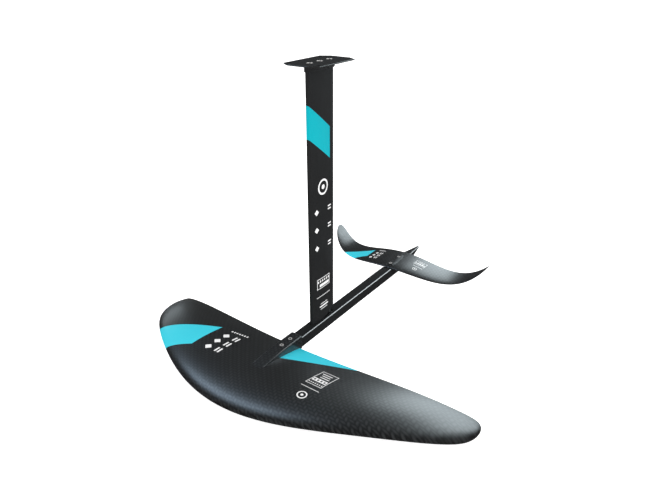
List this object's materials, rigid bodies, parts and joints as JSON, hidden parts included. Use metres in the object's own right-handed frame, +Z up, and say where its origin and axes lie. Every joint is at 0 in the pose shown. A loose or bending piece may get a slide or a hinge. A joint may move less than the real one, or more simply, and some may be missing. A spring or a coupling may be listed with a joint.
{
  "type": "hydrofoil mast wing",
  "caption": "Underwater foil for a board: top plate, upright mast, fuselage bar, half-moon front wing with drooping tips and a swept stabiliser with curled-up tips.",
  "frame": {"origin": "centre of the top plate's upper face, where the plate is bolted to the board, in the middle of its board slots", "axes": "+Z up out of the plate into the board, +X along the span to port, +Y aft along the fuselage"},
  "size_m": [1.1256, 1.0909, 0.8582],
  "materials": {
    "anodised_aluminium": "satin black anodised",
    "mast_aluminium": "satin black anodised, with a painted cyan band",
    "stainless_steel": "bright turned stainless",
    "carbon_skin": "satin lacquered carbon weave with painted cyan flashes",
    "carbon_laminate": "satin lacquered carbon weave",
    "foam_core": "closed-cell foam, hidden",
    "dark_anodised_cup": "dark anodised"
  },
  "bodies": {
    "root": {"top_plate": "anodised_aluminium", "plate_screws": "stainless_steel", "mast_extrusion": "mast_aluminium", "mast_head_thread_inserts": "stainless_steel", "mast_foot_thread_inserts": "stainless_steel", "mast_foot_screws": "stainless_steel", "fuselage": "anodised_aluminium", "fuselage_nose_thread_inserts": "stainless_steel", "fuselage_tail_thread_inserts": "stainless_steel", "front_wing_upper_skin": "carbon_skin", "front_wing_lower_skin": "carbon_skin", "front_wing_core": "foam_core", "front_wing_hub": "carbon_laminate", "front_wing_screws": "stainless_steel", "front_wing_screw_cups": "dark_anodised_cup", "stabiliser_upper_skin": "carbon_skin", "stabiliser_lower_skin": "carbon_skin", "stabiliser_core": "foam_core", "stabiliser_hub": "carbon_laminate", "stabiliser_screws": "stainless_steel", "stabiliser_screw_cups": "dark_anodised_cup"}
  },
  "joints": []
}
